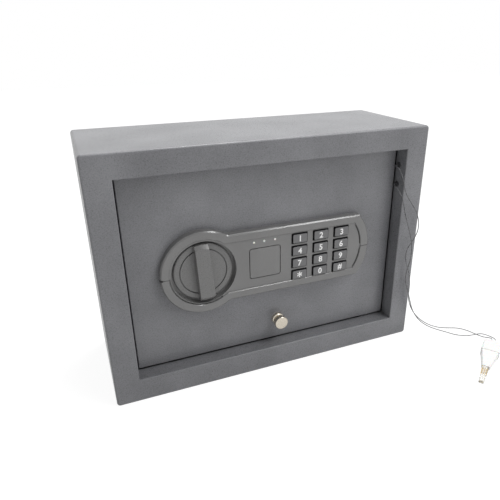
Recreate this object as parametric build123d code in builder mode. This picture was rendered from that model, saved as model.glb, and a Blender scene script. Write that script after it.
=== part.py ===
from build123d import *
from math import cos, pi, radians, sin, tan
import os

# Slim steel safe with an electronic lock. Millimetres, X right, Y back, Z up.
# The origin is the bottom centre of the steel box. Depths are measured back from the box's front plane.

# Steel box
BODY_WIDTH = 300
BODY_HEIGHT = 219
BODY_DEPTH = 109.5
SHEET = 1.5
BODY_CORNER = 3
FRONT_EDGE = 1.8
FOLD = 1.0
OPENING_HALF_WIDTH = 128.6
OPENING_BOTTOM = 22.3
OPENING_TOP = 199.0
RETURN_DEPTH = 15
ANCHOR_DIAMETER = 9
ANCHOR_SPACING = 150
BACK_ANCHOR_HEIGHT = 110
FLOOR_ANCHOR_DEPTH = 70
MAT_THICKNESS = 2
MAT_MARGIN = 2

# Door pan
DOOR_GAP = 1.7
DOOR_FACE_DEPTH = 14
DOOR_PLATE = 2
DOOR_BACK_DEPTH = 36
DOOR_EDGE = 0.8
COVER_THICKNESS = 1.2

# Concealed hinge on the right: the pins stand on brackets behind the return
HINGE_X = 112
HINGE_DEPTH = 20.5
PIN_DIAMETER = 4
PIN_CLEARANCE = 0.05
PIN_REACH = 8
PIN_HEAD = 1.5
BUSH_DIAMETER = 6.4
BUSH_FLANGE = (8, 1.2)
BUSH_PROUD = 0.3
PIN_SHOULDER_GAP = 0.1
BRACKET_THICKNESS = 2.5
BRACKET_DEPTHS = (15.2, 29)
BRACKET_LEFT = 105
BRACKET_GAP = 0.5

# Lock panel
KNOB_X = -63.8
KNOB_Z = 109.4
PANEL_FACE_DEPTH = 6.4
PANEL_ROUND_RADIUS = 37.7
PANEL_TOP = 140.6
PANEL_BOTTOM = 78.9
PANEL_CORNER_X = 87.3
PANEL_END_X = 98.6
PANEL_BLEND = 5
PANEL_EDGE = 1.1
BORDER_EDGE = 0.5
FIELD_DEPTH = 7.4
FIELD_PLATE = 2
FIELD_ROUND_RADIUS = 30.3
FIELD_TOP = 133.1
FIELD_BOTTOM = 86.3
FIELD_CORNER_X = 82.4
FIELD_END_X = 90.0
FIELD_BLEND = 3
RECESS_RADIUS = 28.7
RECESS_FLOOR_DEPTH = 13
SEAM_GAP = 0.5
SEAM_Z = 108.6
SEAM_NOTCH = (2.2, 1.8)
SHADOW_GROOVE = (1.0, 1.8)
END_GROOVES = ((110.8, 131.0), (88.0, 106.4))
PANEL_SCREWS = ((-29, 90.5), (-29, 128.5), (84, 116), (84, 97))
PANEL_SCREW_DIAMETER = 3.5
PANEL_SCREW_TIP_DEPTH = 9.8

# Square insert and lenses
INSERT_X = -8.1
INSERT_Z = 109.45
INSERT_SIZE = (30.0, 29.3)
INSERT_CORNER = 2.6
INSERT_GROOVE = 0.7
LENS_PLACES = ((-18.5, 129.6), (-8.9, 129.7), (1.4, 129.8))
LENS_RADIUS = 1.0
LENS_PROUD = 0.25

# Keys
KEY_NAMES = (("key_star", "key_0", "key_hash"), ("key_7", "key_8", "key_9"),
             ("key_4", "key_5", "key_6"), ("key_1", "key_2", "key_3"))
KEY_COLUMNS = (25.4, 46.7, 68.0)
KEY_BOTTOM_ROW = 91.1
KEY_PITCH = 12.0
KEY_SIZE = (13.9, 8.2)
KEY_CORNER = 1.0
KEY_EDGE = 0.3
KEY_FACE_DEPTH = 5.8
KEY_WELL_GAP = 1.1
KEY_LIP = (17.6, 8.2)
KEY_LIP_DEPTHS = (9.6, 10.6)
KEYPAD_CAVITY = ((15.6, 86.6), (78.0, 132.2))
MEMBRANE_DEPTHS = (11.8, 12.6)
KEY_BOARD_BACK = 13.8
CABLE_HOLE_RADIUS = 6

# Knob and its drive
KNOB_TILT = 3.7
KNOB_RADIUS = 26.2
KNOB_RIM_DEPTH = 10.4
KNOB_RIM_EDGE = 1.4
KNOB_BACK_DEPTH = 12.6
KNOB_LINE_RADIUS = 20.6
KNOB_LINE = (1.0, 1.3)
GRIP_FACE_DEPTH = 4.0
GRIP_LENGTH = 52.4
GRIP_TOP_WIDTH = 12.0
GRIP_BOTTOM_WIDTH = 13.7
GRIP_END_CHAMFER = 3.2
GRIP_EDGE = 0.6
SPINDLE_DIAMETER = 8
SPINDLE_CLEARANCE = 0.06
SPINDLE_SOCKET = 2
CAM_RADIUS = 12
CAM_DEPTHS = (18.5, 21)
CAM_PIN_RADIUS = 7.78
CAM_PIN_DIAMETER = 4
CAM_PIN_RIVET = 3
CAM_PIN_BACK = 26.5
CAM_PIN_PLAY = 0.4

# Bolt work: the bolts are withdrawn at rest and go left by the travel
BOLT_TRAVEL = 11
BOLT_DIAMETER = 12
BOLT_HEIGHTS = (70, 150)
BOLT_DEPTH = 24
BOLT_TIP_X = -126.4
BOLT_ROOT_X = -100
BOLT_HOLE_CLEARANCE = 0.3
CARRIAGE_SHEET = 2
CARRIAGE_RIGHT_X = -38
CARRIAGE_TOP = 158
ARM_BOTTOM = 53.5
ARM_TOP = 60
ARM_RIGHT_X = 24
NOTCH_DEPTH = 4
STUD_X = -89
STUD_HEIGHTS = (82, 137)
STUD_DIAMETER = 5
STUD_COLLAR_DIAMETER = 9

# Solenoid, above the emergency lock
SOLENOID_X = 6.4
SOLENOID_DEPTH = 25.5
SOLENOID_BOTTOM = 70
SOLENOID_TOP = 98
SOLENOID_WIDTH = 28
SOLENOID_DEPTHS = (16, 34)
COIL_DIAMETER = 15
PLUNGER_DIAMETER = 7
PLUNGER_CLEARANCE = 0.2
PLUNGER_GAP = 0.3
PLUNGER_TOP = 90
COLLAR_RISE = 3.6
COLLAR_THICKNESS = 0.8
LIFT_PIN_RISE = 2.2
LIFT_PIN_DIAMETER = 2.4
SPRING_WIRE = 0.6
SPRING_TURNS = 4

# Emergency key lock and its pull-out plug
LOCK_X = 6.4
LOCK_Z = 44.6
PLUG_HEAD_DIAMETER = 12.7
PLUG_NECK_DIAMETER = 7.7
PLUG_BASE_DIAMETER = 11.5
PLUG_BASE_HEIGHT = 3.6
PLUG_FACE_DEPTH = 2.3
PLUG_HEAD_BACK = 7.4
PLUG_DOME = 0.4
PLUG_EDGE = 0.8
PLUG_STEM_DIAMETER = 9.9
PLUG_STEM_BACK = 20.5
LOCK_BORE = 10.1
LOCK_OUTSIDE = 16
LOCK_FLANGE = (22, 2)
LOCK_BACK_DEPTH = 32
CORE_FRONT_DEPTH = 21
KEY_SLOT = (3.4, 2.0, 4.0)
LOCK_CAM_DEPTHS = (33, 34.5)
LOCK_CAM_REACH = 15.5
LOCK_CAM_WIDTH = 6
LOCK_CAM_HUB = 16

# Electronics and batteries, behind the door plate
BOARD_X = (30, 96)
BOARD_Z = (56, 108)
BOARD_DEPTHS = (22, 23.6)
BOARD_FOOT = (4, 2.5)
BOARD_PARTS = ((50, 84, 14, 10, 2), (72, 74, 9, 9, 1.6), (44, 66, 8, 6, 5), (86, 99, 7, 7, 2.6))
RESET_X = 86
RESET_Z = 99
RESET_DIAMETER = 5
RESET_DEPTHS = (27, 37.6)
BATTERY_BOX_X = (36, 96)
BATTERY_BOX_Z = (122, 188)
BATTERY_BOX_CORNER = 3
BATTERY_DIAMETER = 14.2
BATTERY_LENGTH = 50.5
BATTERY_NUB = (5.5, 1.2)
BATTERY_PITCH = 15.2
BATTERY_COUNT = 4
BATTERY_WALL = 1.6
CONTACT_DIAMETER = 8
LID_GAP = 0.4
LID_PROUD = 0.8
LID_RIBS = (22, 1.4, 4, 5)
COVER_SCREWS = ((-112, 34), (-112, 186), (10, 186), (104, 34), (-20, 34))
POST_DIAMETER = 7
COVER_SCREW_DIAMETER = 3
COVER_SCREW_HEAD = (6, 1.8)
COVER_SCREW_LENGTH = 9

# Leads out of the right return, their grommets and the connector that lies on the floor
LEAD_DIAMETER = 0.8
LEAD_EXIT_DEPTH = 10.8
LEAD_EXIT_HEIGHTS = (182.4, 164.4)
GROMMET_DIAMETER = 5.2
GROMMET_PROUD = 0.8
CONNECTOR_REAR = (213, -60.25)
CONNECTOR_HEADING = 216.5
CONNECTOR_BLOCK = (18, 17, 9)
CONNECTOR_COLLAR = (5, 6.4)
CONNECTOR_SNOUT_LENGTH = 22
CONNECTOR_TIP = (24, 6.5, 4.5)
CONNECTOR_LIFT = 4.5

FRONT = -BODY_DEPTH / 2
INNER_HALF_WIDTH = BODY_WIDTH / 2 - SHEET
DOOR_RIGHT = OPENING_HALF_WIDTH - DOOR_GAP
DOOR_BOTTOM = OPENING_BOTTOM + DOOR_GAP
DOOR_TOP = OPENING_TOP - DOOR_GAP
DOOR_MID_Z = (DOOR_BOTTOM + DOOR_TOP) / 2
DOOR_HEIGHT = DOOR_TOP - DOOR_BOTTOM
PLATE_BACK = DOOR_FACE_DEPTH + DOOR_PLATE
HINGE_Y = FRONT + HINGE_DEPTH
PANEL_THICKNESS = DOOR_FACE_DEPTH - PANEL_FACE_DEPTH


def at_depth(depth):
    """Sketch plane that faces the front, with X right and Z up, at a depth behind the front plane."""
    return Plane.XZ.offset(-FRONT - depth)


def upright(z, direction=1):
    return Plane((HINGE_X, HINGE_Y, z), z_dir=(0, 0, direction))


def save(part, label):
    part.label = label
    export_step(part, "parts/" + label + ".step")


os.makedirs("parts", exist_ok=True)

# Folded steel wrap: outer skin, front flange and the return that surrounds the door
with BuildPart() as body_shell:
    with BuildSketch(at_depth(BODY_DEPTH)):
        with Locations((0, BODY_HEIGHT / 2)):
            RectangleRounded(BODY_WIDTH, BODY_HEIGHT, BODY_CORNER)
    extrude(amount=BODY_DEPTH)
    fillet(body_shell.faces().sort_by(Axis.Y)[0].outer_wire().edges(), FRONT_EDGE)
    with BuildSketch(at_depth(BODY_DEPTH)):
        with Locations((0, BODY_HEIGHT / 2)):
            RectangleRounded(BODY_WIDTH - 2 * SHEET, BODY_HEIGHT - 2 * SHEET, BODY_CORNER - SHEET)
    extrude(amount=BODY_DEPTH - SHEET, mode=Mode.SUBTRACT)
    with BuildSketch(at_depth(RETURN_DEPTH)):
        with Locations((0, (OPENING_BOTTOM + OPENING_TOP) / 2)):
            Rectangle(2 * (OPENING_HALF_WIDTH + SHEET), OPENING_TOP - OPENING_BOTTOM + 2 * SHEET)
    extrude(amount=RETURN_DEPTH - SHEET / 2)
    with BuildSketch(at_depth(RETURN_DEPTH)):
        with Locations((0, (OPENING_BOTTOM + OPENING_TOP) / 2)):
            Rectangle(2 * OPENING_HALF_WIDTH, OPENING_TOP - OPENING_BOTTOM)
    extrude(amount=RETURN_DEPTH, mode=Mode.SUBTRACT)
    fillet(body_shell.faces().sort_by(Axis.Y)[0].inner_wires()[0].edges(), FOLD)
    with BuildSketch(Plane.XY):
        with Locations((0, FRONT + FLOOR_ANCHOR_DEPTH)):
            with GridLocations(ANCHOR_SPACING, 0, 2, 1):
                Circle(ANCHOR_DIAMETER / 2)
    extrude(amount=SHEET, mode=Mode.SUBTRACT)
    with BuildSketch(Plane.YZ.offset(OPENING_HALF_WIDTH)):
        with Locations(*[(FRONT + LEAD_EXIT_DEPTH, z) for z in LEAD_EXIT_HEIGHTS]):
            Circle(GROMMET_DIAMETER / 2 - GROMMET_PROUD)
    extrude(amount=SHEET, mode=Mode.SUBTRACT)
save(body_shell.part, "body_shell")

# Steel back, welded into the wrap, with two wall anchor holes
with BuildPart() as back_panel:
    with BuildSketch(at_depth(BODY_DEPTH)):
        with Locations((0, BODY_HEIGHT / 2)):
            RectangleRounded(BODY_WIDTH - 2 * SHEET, BODY_HEIGHT - 2 * SHEET, BODY_CORNER - SHEET)
        with Locations((0, BACK_ANCHOR_HEIGHT)):
            with GridLocations(ANCHOR_SPACING, 0, 2, 1):
                Circle(ANCHOR_DIAMETER / 2, mode=Mode.SUBTRACT)
    extrude(amount=SHEET)
save(back_panel.part, "back_panel")

# Felt mat on the inside floor, cut out round the floor anchor holes
MAT_FRONT_DEPTH = RETURN_DEPTH + MAT_MARGIN
MAT_BACK_DEPTH = BODY_DEPTH - SHEET - MAT_MARGIN
with BuildPart() as floor_mat:
    with BuildSketch(Plane.XY.offset(SHEET)):
        with Locations((0, FRONT + (MAT_FRONT_DEPTH + MAT_BACK_DEPTH) / 2)):
            Rectangle(2 * (INNER_HALF_WIDTH - MAT_MARGIN), MAT_BACK_DEPTH - MAT_FRONT_DEPTH)
        with Locations((0, FRONT + FLOOR_ANCHOR_DEPTH)):
            with GridLocations(ANCHOR_SPACING, 0, 2, 1):
                Circle(ANCHOR_DIAMETER, mode=Mode.SUBTRACT)
    extrude(amount=MAT_THICKNESS)
save(floor_mat.part, "floor_mat")

# Hinge: a welded bracket, a headed pin and a flanged bush at the top and at the bottom of the door
for end, bracket_z, door_edge, inward in (
    ("upper", OPENING_TOP + SHEET + BRACKET_GAP, DOOR_TOP, -1),
    ("lower", OPENING_BOTTOM - SHEET - BRACKET_GAP - BRACKET_THICKNESS, DOOR_BOTTOM, 1),
):
    with BuildPart() as bracket:
        with BuildSketch(Plane.XY.offset(bracket_z)):
            with Locations(((BRACKET_LEFT + INNER_HALF_WIDTH) / 2, FRONT + sum(BRACKET_DEPTHS) / 2)):
                Rectangle(INNER_HALF_WIDTH - BRACKET_LEFT, BRACKET_DEPTHS[1] - BRACKET_DEPTHS[0])
            with Locations((HINGE_X, HINGE_Y)):
                Circle(PIN_DIAMETER / 2, mode=Mode.SUBTRACT)
        extrude(amount=BRACKET_THICKNESS)
    save(bracket.part, "hinge_bracket_" + end)

    outer_z = bracket_z if inward > 0 else bracket_z + BRACKET_THICKNESS
    inner_z = bracket_z + BRACKET_THICKNESS if inward > 0 else bracket_z
    bush_face = door_edge - inward * BUSH_PROUD
    with BuildPart() as pin:
        with BuildSketch(upright(outer_z, inward)):
            Circle(PIN_DIAMETER / 2)
        extrude(amount=abs(door_edge + inward * PIN_REACH - outer_z))
        with BuildSketch(upright(outer_z, -inward)):
            Circle(PIN_DIAMETER / 2 + PIN_HEAD)
        extrude(amount=PIN_HEAD)
        with BuildSketch(upright(inner_z, inward)):
            Circle(PIN_DIAMETER / 2 + PIN_HEAD)
        extrude(amount=abs(bush_face - inner_z) - PIN_SHOULDER_GAP)
    save(pin.part, "hinge_pin_" + end)

    with BuildPart() as bush:
        for start, radius, height in (
            (bush_face, BUSH_DIAMETER / 2, SHEET + BUSH_PROUD),
            (door_edge + inward * SHEET, BUSH_FLANGE[0] / 2, BUSH_FLANGE[1]),
        ):
            with BuildSketch(upright(start, inward)):
                Circle(radius)
                Circle(PIN_DIAMETER / 2 + PIN_CLEARANCE, mode=Mode.SUBTRACT)
            extrude(amount=height)
    save(bush.part, "hinge_bush_" + end)

# Two rubber grommets in the right return, where the leads come out
with BuildPart() as lead_grommets:
    for start, radius, length in (
        (OPENING_HALF_WIDTH - GROMMET_PROUD, GROMMET_DIAMETER / 2, GROMMET_PROUD),
        (OPENING_HALF_WIDTH, GROMMET_DIAMETER / 2 - GROMMET_PROUD, SHEET),
    ):
        with BuildSketch(Plane.YZ.offset(start)):
            with Locations(*[(FRONT + LEAD_EXIT_DEPTH, z) for z in LEAD_EXIT_HEIGHTS]):
                Circle(radius)
        extrude(amount=length)
save(lead_grommets.part, "lead_grommets")

# Steel door pan: flat face, edges folded back, holes for the lock work, the bolts and the hinge bushes
with BuildPart() as door_skin:
    with BuildSketch(at_depth(DOOR_BACK_DEPTH)):
        with Locations((0, DOOR_MID_Z)):
            Rectangle(2 * DOOR_RIGHT, DOOR_HEIGHT)
    extrude(amount=DOOR_BACK_DEPTH - DOOR_FACE_DEPTH)
    fillet(door_skin.faces().sort_by(Axis.Y)[0].edges(), DOOR_EDGE)
    with BuildSketch(at_depth(DOOR_BACK_DEPTH)):
        with Locations((0, DOOR_MID_Z)):
            Rectangle(2 * (DOOR_RIGHT - SHEET), DOOR_HEIGHT - 2 * SHEET)
    extrude(amount=DOOR_BACK_DEPTH - PLATE_BACK, mode=Mode.SUBTRACT)
    with BuildSketch(at_depth(PLATE_BACK)):
        with Locations((KNOB_X, KNOB_Z)):
            Circle(SPINDLE_DIAMETER / 2 + SPINDLE_CLEARANCE)
        with Locations((LOCK_X, LOCK_Z)):
            Circle(LOCK_BORE / 2)
        with Locations((KEY_COLUMNS[1], KNOB_Z)):
            Circle(CABLE_HOLE_RADIUS)
        with Locations(*PANEL_SCREWS):
            Circle(PANEL_SCREW_DIAMETER / 2 + 0.3)
    extrude(amount=DOOR_PLATE, mode=Mode.SUBTRACT)
    with BuildSketch(Plane.YZ.offset(-DOOR_RIGHT)):
        with Locations(*[(FRONT + BOLT_DEPTH, z) for z in BOLT_HEIGHTS]):
            Circle(BOLT_DIAMETER / 2 + BOLT_HOLE_CLEARANCE)
    extrude(amount=SHEET, mode=Mode.SUBTRACT)
    for bottom in (DOOR_BOTTOM, DOOR_TOP - SHEET):
        with BuildSketch(upright(bottom)):
            Circle(BUSH_DIAMETER / 2)
        extrude(amount=SHEET, mode=Mode.SUBTRACT)
save(door_skin.part, "door_skin")

# Sheet cover over the door's inside, with the battery opening and the reset hole
COVER_MARGIN = 0.3
COVER_CORNER = 2
BATTERY_MID = (sum(BATTERY_BOX_X) / 2, sum(BATTERY_BOX_Z) / 2)
BATTERY_BOX_SIZE = (BATTERY_BOX_X[1] - BATTERY_BOX_X[0], BATTERY_BOX_Z[1] - BATTERY_BOX_Z[0])
COVER_BACK = DOOR_BACK_DEPTH + COVER_THICKNESS
with BuildPart() as door_inner_cover:
    with BuildSketch(at_depth(COVER_BACK)):
        with Locations((0, DOOR_MID_Z)):
            RectangleRounded(2 * (DOOR_RIGHT - COVER_MARGIN), DOOR_HEIGHT - 2 * COVER_MARGIN, COVER_CORNER)
        with Locations(BATTERY_MID):
            RectangleRounded(*BATTERY_BOX_SIZE, BATTERY_BOX_CORNER, mode=Mode.SUBTRACT)
        with Locations((RESET_X, RESET_Z)):
            Circle(RESET_DIAMETER / 2 + 0.5, mode=Mode.SUBTRACT)
        with Locations(*COVER_SCREWS):
            Circle(COVER_SCREW_DIAMETER / 2, mode=Mode.SUBTRACT)
    extrude(amount=COVER_THICKNESS)
save(door_inner_cover.part, "door_inner_cover")

# Threaded posts on the door plate and the pan-head screws that hold the cover to them
with BuildPart() as cover_posts:
    with BuildSketch(at_depth(DOOR_BACK_DEPTH)):
        with Locations(*COVER_SCREWS):
            Circle(POST_DIAMETER / 2)
            Circle(COVER_SCREW_DIAMETER / 2, mode=Mode.SUBTRACT)
    extrude(amount=DOOR_BACK_DEPTH - PLATE_BACK)
save(cover_posts.part, "cover_posts")

with BuildPart() as cover_screws:
    for back, radius, length in (
        (COVER_BACK, COVER_SCREW_DIAMETER / 2, COVER_SCREW_LENGTH),
        (COVER_BACK + COVER_SCREW_HEAD[1], COVER_SCREW_HEAD[0] / 2, COVER_SCREW_HEAD[1]),
    ):
        with BuildSketch(at_depth(back)):
            with Locations(*COVER_SCREWS):
                Circle(radius)
        extrude(amount=length)
    fillet(cover_screws.faces().group_by(Axis.Y)[-1].edges(), COVER_SCREW_HEAD[1] / 2)
save(cover_screws.part, "cover_screws")


def panel_outline(round_radius, top, bottom, corner_x, end_x, blend):
    """Round end about the knob joined to a bar with an arched right end, with small blends between them."""
    with BuildSketch(mode=Mode.PRIVATE) as outline:
        with BuildLine():
            Line((KNOB_X, top), (corner_x, top))
            ThreePointArc((corner_x, top), (end_x, (top + bottom) / 2), (corner_x, bottom))
            Line((corner_x, bottom), (KNOB_X, bottom))
            Line((KNOB_X, bottom), (KNOB_X, top))
        make_face()
        with Locations((KNOB_X, KNOB_Z)):
            Circle(round_radius)
        necks = outline.vertices().filter_by_position(Axis.X, KNOB_X + 5, KNOB_X + 30)
        fillet(necks, blend)
    return outline.sketch


PANEL_SHAPE = panel_outline(PANEL_ROUND_RADIUS, PANEL_TOP, PANEL_BOTTOM, PANEL_CORNER_X, PANEL_END_X, PANEL_BLEND)
FIELD_SHAPE = panel_outline(FIELD_ROUND_RADIUS, FIELD_TOP, FIELD_BOTTOM, FIELD_CORNER_X, FIELD_END_X, FIELD_BLEND)
KEY_ROWS = [KEY_BOTTOM_ROW + KEY_PITCH * row for row in range(len(KEY_NAMES))]
KEY_PLACES = [(x, z) for z in KEY_ROWS for x in KEY_COLUMNS]
CAVITY_MID = tuple((low + high) / 2 for low, high in zip(*KEYPAD_CAVITY))
CAVITY_SIZE = tuple(high - low for low, high in zip(*KEYPAD_CAVITY))

# Raised border of the lock panel, bevelled outside and in, in an upper and a lower half that meet in a seam
for label, low_z, high_z in (
    ("panel_upper_trim", SEAM_Z + SEAM_GAP / 2, BODY_HEIGHT),
    ("panel_lower_trim", 0, SEAM_Z - SEAM_GAP / 2),
):
    with BuildPart() as trim:
        with BuildSketch(at_depth(DOOR_FACE_DEPTH)):
            add(PANEL_SHAPE)
        extrude(amount=PANEL_THICKNESS)
        chamfer(trim.faces().sort_by(Axis.Y)[0].edges(), PANEL_EDGE)
        with BuildSketch(at_depth(DOOR_FACE_DEPTH)):
            add(FIELD_SHAPE)
        extrude(amount=PANEL_THICKNESS, mode=Mode.SUBTRACT)
        chamfer(trim.faces().sort_by(Axis.Y)[0].inner_wires()[0].edges(), BORDER_EDGE)
        with BuildSketch(at_depth(DOOR_FACE_DEPTH)):
            with Locations((0, (low_z + high_z) / 2)):
                Rectangle(BODY_WIDTH, high_z - low_z)
        extrude(amount=PANEL_THICKNESS, mode=Mode.INTERSECT)
        with BuildSketch(at_depth(DOOR_FACE_DEPTH)):
            with Locations((KNOB_X - PANEL_ROUND_RADIUS, SEAM_Z)):
                Rectangle(2 * SEAM_NOTCH[0], SEAM_NOTCH[1])
        extrude(amount=PANEL_THICKNESS, mode=Mode.SUBTRACT)
    save(trim.part, label)

# Inner field of the panel: knob recess, insert pocket, key wells and the cavity behind the keys.
# A narrow groove parts it from the border at the right end and under the knob.
with BuildPart() as panel_base:
    with BuildSketch(at_depth(DOOR_FACE_DEPTH)):
        add(FIELD_SHAPE)
    extrude(amount=DOOR_FACE_DEPTH - FIELD_DEPTH)
    with BuildSketch(at_depth(RECESS_FLOOR_DEPTH)):
        with Locations((KNOB_X, KNOB_Z)):
            Circle(RECESS_RADIUS)
    extrude(amount=RECESS_FLOOR_DEPTH - FIELD_DEPTH, mode=Mode.SUBTRACT)
    with BuildSketch(at_depth(DOOR_FACE_DEPTH)):
        with Locations((KNOB_X, KNOB_Z)):
            Circle(SPINDLE_DIAMETER / 2 + 1)
        with Locations(*PANEL_SCREWS):
            Circle(PANEL_SCREW_DIAMETER / 2)
    extrude(amount=DOOR_FACE_DEPTH - PANEL_SCREW_TIP_DEPTH, mode=Mode.SUBTRACT)
    with BuildSketch(at_depth(FIELD_DEPTH + FIELD_PLATE)):
        with Locations((INSERT_X, INSERT_Z)):
            RectangleRounded(*INSERT_SIZE, INSERT_CORNER)
        with Locations(*LENS_PLACES):
            Circle(LENS_RADIUS)
        with Locations(*KEY_PLACES):
            RectangleRounded(KEY_SIZE[0] + 2 * KEY_WELL_GAP, KEY_SIZE[1] + 2 * KEY_WELL_GAP, KEY_CORNER)
    extrude(amount=FIELD_PLATE, mode=Mode.SUBTRACT)
    with BuildSketch(at_depth(DOOR_FACE_DEPTH)):
        with Locations(CAVITY_MID):
            Rectangle(*CAVITY_SIZE)
    extrude(amount=DOOR_FACE_DEPTH - FIELD_DEPTH - FIELD_PLATE, mode=Mode.SUBTRACT)
    with BuildSketch(at_depth(FIELD_DEPTH + SHADOW_GROOVE[1])):
        for low_z, high_z in END_GROOVES:
            with Locations((FIELD_END_X, (low_z + high_z) / 2)):
                Rectangle(2 * (FIELD_END_X - FIELD_CORNER_X), high_z - low_z)
        with Locations((KNOB_X - FIELD_ROUND_RADIUS / 4, (SEAM_Z + KNOB_Z) / 2 - FIELD_ROUND_RADIUS / 2)):
            Rectangle(FIELD_ROUND_RADIUS * 1.5, FIELD_ROUND_RADIUS)
        add(FIELD_SHAPE, mode=Mode.INTERSECT)
        add(offset(FIELD_SHAPE, -SHADOW_GROOVE[0], kind=Kind.INTERSECTION, mode=Mode.PRIVATE), mode=Mode.SUBTRACT)
    extrude(amount=SHADOW_GROOVE[1], mode=Mode.SUBTRACT)
save(panel_base.part, "panel_base")

# Blank square insert, set in its pocket with a fine groove round it
with BuildPart() as centre_insert:
    with BuildSketch(at_depth(FIELD_DEPTH + FIELD_PLATE)):
        with Locations((INSERT_X, INSERT_Z)):
            RectangleRounded(INSERT_SIZE[0] - 2 * INSERT_GROOVE, INSERT_SIZE[1] - 2 * INSERT_GROOVE,
                             INSERT_CORNER - INSERT_GROOVE)
    extrude(amount=FIELD_PLATE)
save(centre_insert.part, "centre_insert")

# Three domed lenses over the indicator lights
with BuildPart() as indicator_lenses:
    with BuildSketch(at_depth(FIELD_DEPTH + FIELD_PLATE)):
        with Locations(*LENS_PLACES):
            Circle(LENS_RADIUS)
    extrude(amount=FIELD_PLATE + LENS_PROUD)
    fillet(indicator_lenses.faces().group_by(Axis.Y)[0].edges(), LENS_PROUD * 0.9)
save(indicator_lenses.part, "indicator_lenses")

# Twelve push keys: a rounded cap through the field and a lip behind it
for row, names in zip(KEY_ROWS, KEY_NAMES):
    for column, label in zip(KEY_COLUMNS, names):
        with BuildPart() as key:
            with BuildSketch(at_depth(KEY_LIP_DEPTHS[0])):
                with Locations((column, row)):
                    RectangleRounded(*KEY_SIZE, KEY_CORNER)
            extrude(amount=KEY_LIP_DEPTHS[0] - KEY_FACE_DEPTH)
            fillet(key.faces().sort_by(Axis.Y)[0].edges(), KEY_EDGE)
            with BuildSketch(at_depth(KEY_LIP_DEPTHS[1])):
                with Locations((column, row)):
                    RectangleRounded(*KEY_LIP, KEY_CORNER)
            extrude(amount=KEY_LIP_DEPTHS[1] - KEY_LIP_DEPTHS[0])
        save(key.part, label)

# Rubber membrane and circuit board behind the keys
for label, front_depth, back_depth in (
    ("keypad_membrane", MEMBRANE_DEPTHS[0], MEMBRANE_DEPTHS[1]),
    ("keypad_board", MEMBRANE_DEPTHS[1], KEY_BOARD_BACK),
):
    with BuildPart() as layer:
        with BuildSketch(at_depth(back_depth)):
            with Locations(CAVITY_MID):
                RectangleRounded(CAVITY_SIZE[0] - 1, CAVITY_SIZE[1] - 1, 1)
        extrude(amount=back_depth - front_depth)
    save(layer.part, label)

# Screws that hold the panel from inside the door
with BuildPart() as panel_screws:
    for back, radius, front in (
        (PLATE_BACK, PANEL_SCREW_DIAMETER / 2, PANEL_SCREW_TIP_DEPTH),
        (PLATE_BACK + 2, PANEL_SCREW_DIAMETER, PLATE_BACK),
    ):
        with BuildSketch(at_depth(back)):
            with Locations(*PANEL_SCREWS):
                Circle(radius)
        extrude(amount=back - front)
save(panel_screws.part, "panel_screws")


def knob_plane(depth):
    """Front-facing plane centred on the knob and turned with it."""
    tilt = radians(KNOB_TILT)
    return Plane((KNOB_X, FRONT + depth, KNOB_Z), x_dir=(cos(tilt), 0, sin(tilt)), z_dir=(0, -1, 0))


# Turning knob: disc with a line round its middle and a tapered grip bar across it
with BuildPart() as knob_body:
    with BuildSketch(knob_plane(KNOB_BACK_DEPTH)):
        Circle(KNOB_RADIUS)
    extrude(amount=KNOB_BACK_DEPTH - KNOB_RIM_DEPTH)
    fillet(knob_body.faces().sort_by(Axis.Y)[0].edges(), KNOB_RIM_EDGE)
    with BuildSketch(knob_plane(KNOB_RIM_DEPTH + KNOB_LINE[1])):
        Circle(KNOB_LINE_RADIUS + KNOB_LINE[0] / 2)
        Circle(KNOB_LINE_RADIUS - KNOB_LINE[0] / 2, mode=Mode.SUBTRACT)
    extrude(amount=KNOB_LINE[1], mode=Mode.SUBTRACT)
    with BuildSketch(knob_plane(KNOB_BACK_DEPTH - KNOB_LINE[1])):
        with BuildLine():
            Polyline((-GRIP_TOP_WIDTH / 2, GRIP_LENGTH / 2), (GRIP_TOP_WIDTH / 2, GRIP_LENGTH / 2),
                     (GRIP_BOTTOM_WIDTH / 2, -GRIP_LENGTH / 2), (-GRIP_BOTTOM_WIDTH / 2, -GRIP_LENGTH / 2),
                     close=True)
        make_face()
        Circle(KNOB_RADIUS - 0.1, mode=Mode.INTERSECT)
    extrude(amount=KNOB_BACK_DEPTH - KNOB_LINE[1] - GRIP_FACE_DEPTH)
    chamfer(knob_body.faces().sort_by(Axis.Y)[0].edges().filter_by(GeomType.CIRCLE), GRIP_END_CHAMFER)
    fillet(knob_body.faces().sort_by(Axis.Y)[0].edges().filter_by(GeomType.LINE), GRIP_EDGE)
    with BuildSketch(knob_plane(KNOB_BACK_DEPTH)):
        Circle(SPINDLE_DIAMETER / 2)
    extrude(amount=SPINDLE_SOCKET, mode=Mode.SUBTRACT)
save(knob_body.part, "knob_body")

# Spindle through the door, the cam on its back end and the pin that drives the carriage
SPINDLE_BACK = CAM_DEPTHS[1] + 0.5
with BuildPart() as knob_spindle:
    with BuildSketch(at_depth(SPINDLE_BACK)):
        with Locations((KNOB_X, KNOB_Z)):
            Circle(SPINDLE_DIAMETER / 2)
    extrude(amount=SPINDLE_BACK - KNOB_BACK_DEPTH + SPINDLE_SOCKET)
save(knob_spindle.part, "knob_spindle")

PIN_X = KNOB_X + CAM_PIN_RADIUS * sin(pi / 4)
PIN_Z = KNOB_Z + CAM_PIN_RADIUS * cos(pi / 4)
with BuildPart() as drive_cam:
    with BuildSketch(at_depth(CAM_DEPTHS[1])):
        with Locations((KNOB_X, KNOB_Z)):
            Circle(CAM_RADIUS)
            Circle(SPINDLE_DIAMETER / 2, mode=Mode.SUBTRACT)
        with Locations((PIN_X, PIN_Z)):
            Circle(CAM_PIN_RIVET / 2, mode=Mode.SUBTRACT)
    extrude(amount=CAM_DEPTHS[1] - CAM_DEPTHS[0])
save(drive_cam.part, "drive_cam")

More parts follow.
